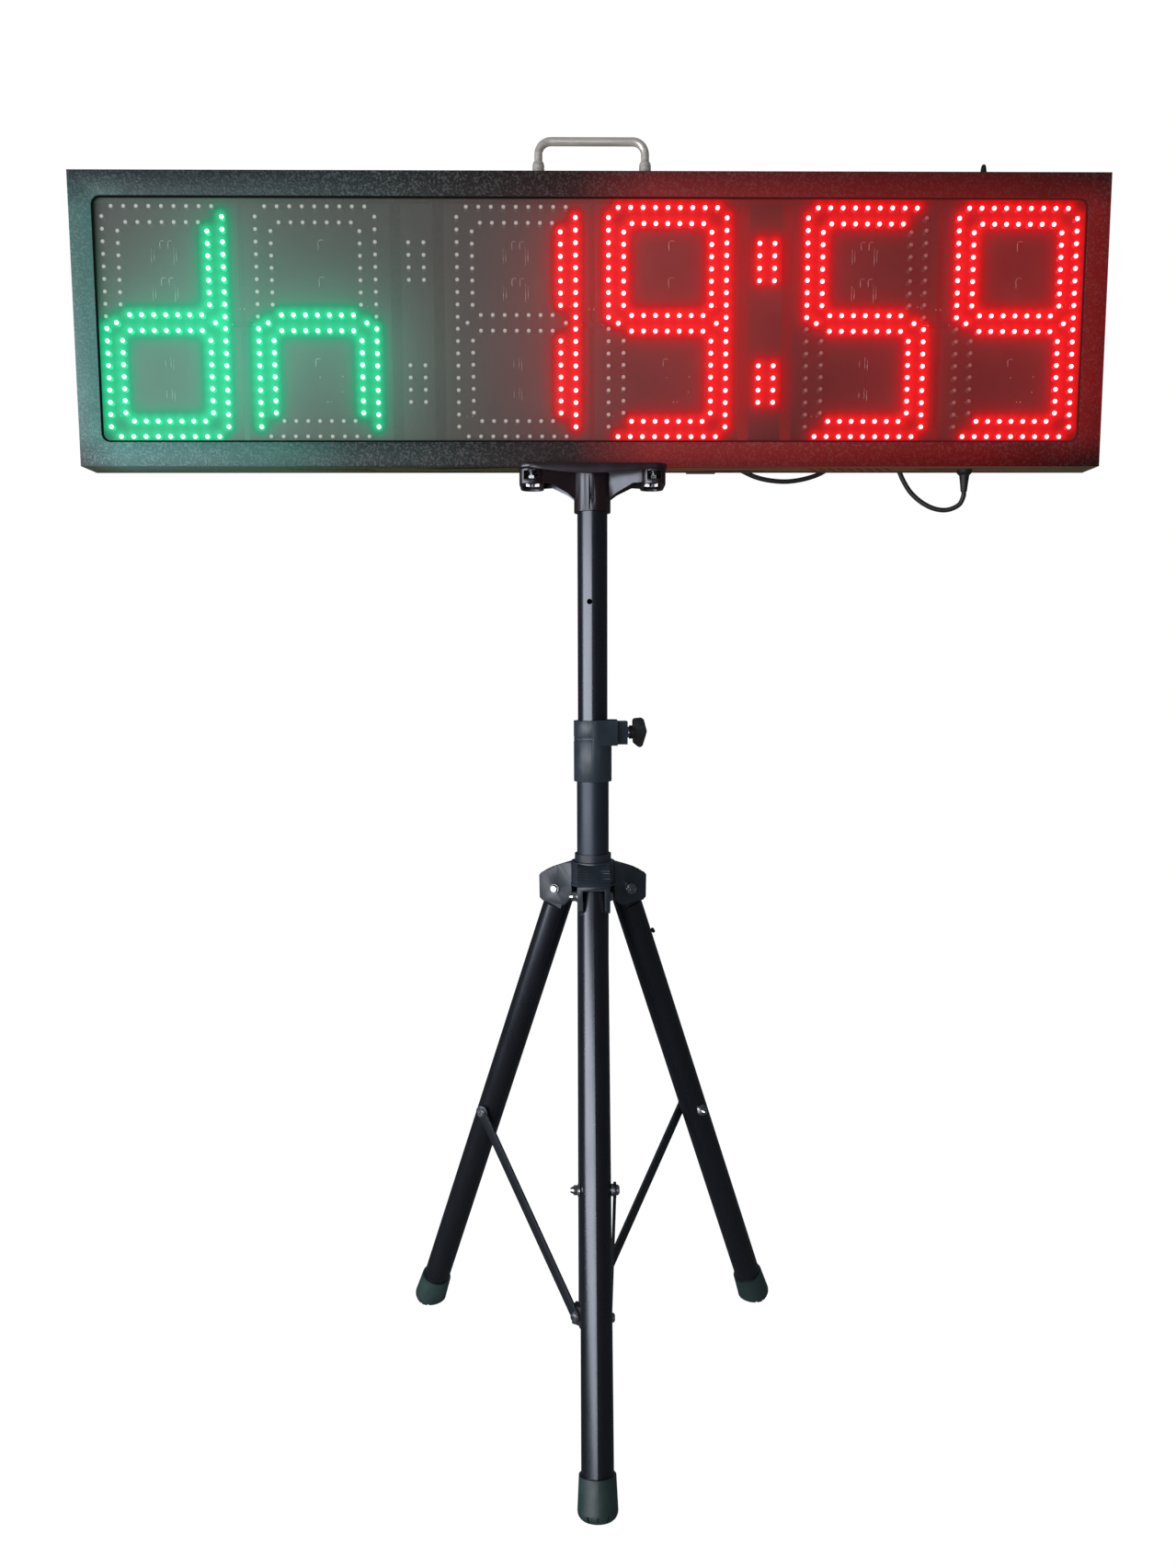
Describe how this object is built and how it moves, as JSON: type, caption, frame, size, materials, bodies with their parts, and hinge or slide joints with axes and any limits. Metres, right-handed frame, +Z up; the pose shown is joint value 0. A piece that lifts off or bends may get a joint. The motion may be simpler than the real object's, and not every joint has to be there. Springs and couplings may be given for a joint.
{
  "type": "led race clock on tripod stand",
  "caption": "Wide LED race clock in a shallow black cabinet, carried by a telescopic mast on a folding tripod stand.",
  "frame": {"origin": "centre of the bounding box's underside, on the floor between the feet, with the tripod open and the mast as pictured", "axes": "+Z up along the mast, +X to the right of someone facing the digits, -Y towards them"},
  "size_m": [1.16, 0.4266, 1.454],
  "materials": {
    "cabinet_paint": "black textured powder coat on 1.2 mm sheet steel",
    "zinc_steel": "bright zinc-plated steel",
    "smoked_acrylic": "clear to lightly smoked glossy acrylic sheet",
    "gasket_rubber": "black foam rubber",
    "circuit_board": "black solder mask on glass-fibre board",
    "controller_board": "green solder mask on glass-fibre board",
    "led_green": "clear epoxy lens, lit green",
    "led_red": "clear epoxy lens, lit red",
    "led_unlit": "clear epoxy lens, unlit",
    "pin_header": "black moulded header",
    "power_supply_case": "plain folded aluminium",
    "handle_steel": "satin stainless steel",
    "antenna_rubber": "black moulded rubber",
    "lead_rubber": "black rubber cable sheath",
    "black_plastic": "black moulded plastic",
    "bracket_paint": "glossy black paint on a cast bracket",
    "black_steel": "black oxide steel",
    "tube_paint": "glossy black powder coat on steel tube",
    "strut_paint": "black powder coat on flat steel bar",
    "collar_plastic": "dark blue-grey moulded nylon",
    "hub_plastic": "dark blue-grey moulded nylon",
    "knob_plastic": "glossy black moulded plastic",
    "brass": "plain brass",
    "foot_rubber": "dark rubber"
  },
  "bodies": {
    "lower_mast": {"lower_tube": "tube_paint", "mast_collar": "collar_plastic", "clamp_pad": "brass", "spider": "black_plastic", "strut_pivot_bolts": "zinc_steel"},
    "upper_mast": {"upper_tube": "tube_paint", "guide_bush": "black_plastic"},
    "display": {"front_frame": "cabinet_paint", "rear_cover": "cabinet_paint", "rear_cover_screws": "zinc_steel", "window": "smoked_acrylic", "window_gasket": "gasket_rubber", "digit_board_1": "circuit_board", "digit_board_2": "circuit_board", "digit_board_3": "circuit_board", "digit_board_4": "circuit_board", "digit_board_5": "circuit_board", "digit_board_6": "circuit_board", "colon_boards": "circuit_board", "leds_green": "led_green", "leds_red": "led_red", "leds_unlit": "led_unlit", "board_standoffs": "zinc_steel", "board_links": "pin_header", "controller_board": "controller_board", "power_supply": "power_supply_case", "carry_handle": "handle_steel", "handle_ferrules": "handle_steel", "handle_screws": "zinc_steel", "remote_antenna": "antenna_rubber", "lead_boot": "lead_rubber", "power_lead": "lead_rubber", "lead_clip": "black_plastic", "lead_inlet": "black_plastic", "mount_bracket": "bracket_paint", "bracket_bolts": "zinc_steel", "bracket_set_screw": "black_steel"},
    "clamp_knob": {"wing_knob": "knob_plastic", "knob_screw": "zinc_steel"},
    "hub": {"hub": "hub_plastic", "hub_bush": "hub_plastic", "leg_pivot_bolts": "zinc_steel"},
    "leg_front": {"leg_front_tube": "tube_paint", "leg_front_knuckle": "black_plastic", "leg_front_foot": "foot_rubber", "leg_front_strut_nut": "zinc_steel"},
    "leg_right": {"leg_right_tube": "tube_paint", "leg_right_knuckle": "black_plastic", "leg_right_foot": "foot_rubber", "leg_right_strut_nut": "zinc_steel"},
    "leg_left": {"leg_left_tube": "tube_paint", "leg_left_knuckle": "black_plastic", "leg_left_foot": "foot_rubber", "leg_left_strut_nut": "zinc_steel"},
    "strut_front": {"strut_front": "strut_paint", "strut_front_bolt": "zinc_steel"},
    "strut_right": {"strut_right": "strut_paint", "strut_right_bolt": "zinc_steel"},
    "strut_left": {"strut_left": "strut_paint", "strut_left_bolt": "zinc_steel"}
  },
  "joints": [
    {"name": "mast_slide", "type": "slide", "parent": "lower_mast", "child": "upper_mast", "axis": [0, 0, 1], "range_m": [-0.235, 0.285]},
    {"name": "display_swivel", "type": "hinge", "parent": "upper_mast", "child": "display", "pos_m": [0, 0.06359, 1.06], "axis": [0, 0, 1], "continuous": true},
    {"name": "clamp_turn", "type": "hinge", "parent": "lower_mast", "child": "clamp_knob", "pos_m": [0.05, 0.06359, 0.786], "axis": [1, 0, 0], "range_deg": [0, 360]},
    {"name": "hub_slide", "type": "slide", "parent": "lower_mast", "child": "hub", "axis": [0, 0, 1], "range_m": [0, 0.0556]},
    {"name": "leg_front_fold", "type": "hinge", "parent": "hub", "child": "leg_front", "pos_m": [0, 0.02159, 0.5965], "axis": [1, 0, 0], "range_deg": [0, 20]},
    {"name": "leg_right_fold", "type": "hinge", "parent": "hub", "child": "leg_right", "pos_m": [0.03637, 0.08459, 0.5965], "axis": [-0.5, 0.866, 0], "range_deg": [0, 20]},
    {"name": "leg_left_fold", "type": "hinge", "parent": "hub", "child": "leg_left", "pos_m": [-0.03637, 0.08459, 0.5965], "axis": [-0.5, -0.866, 0], "range_deg": [0, 20]},
    {"name": "strut_front_turn", "type": "hinge", "parent": "lower_mast", "child": "strut_front", "pos_m": [0, 0.04959, 0.058], "axis": [1, 0, 0], "range_deg": [-24.5, 0]},
    {"name": "strut_right_turn", "type": "hinge", "parent": "lower_mast", "child": "strut_right", "pos_m": [0.01212, 0.07059, 0.058], "axis": [-0.5, 0.866, 0], "range_deg": [-24.5, 0]},
    {"name": "strut_left_turn", "type": "hinge", "parent": "lower_mast", "child": "strut_left", "pos_m": [-0.01212, 0.07059, 0.058], "axis": [-0.5, -0.866, 0], "range_deg": [-24.5, 0]}
  ],
  "couplings": [
    {"joint": "hub_slide", "follows": "leg_front_fold", "m_per_rad": 0.15884},
    {"joint": "leg_right_fold", "follows": "leg_front_fold", "ratio": 1},
    {"joint": "leg_left_fold", "follows": "leg_front_fold", "ratio": 1},
    {"joint": "strut_front_turn", "follows": "leg_front_fold", "ratio": -1.2235},
    {"joint": "strut_right_turn", "follows": "leg_front_fold", "ratio": -1.2235},
    {"joint": "strut_left_turn", "follows": "leg_front_fold", "ratio": -1.2235}
  ]
}
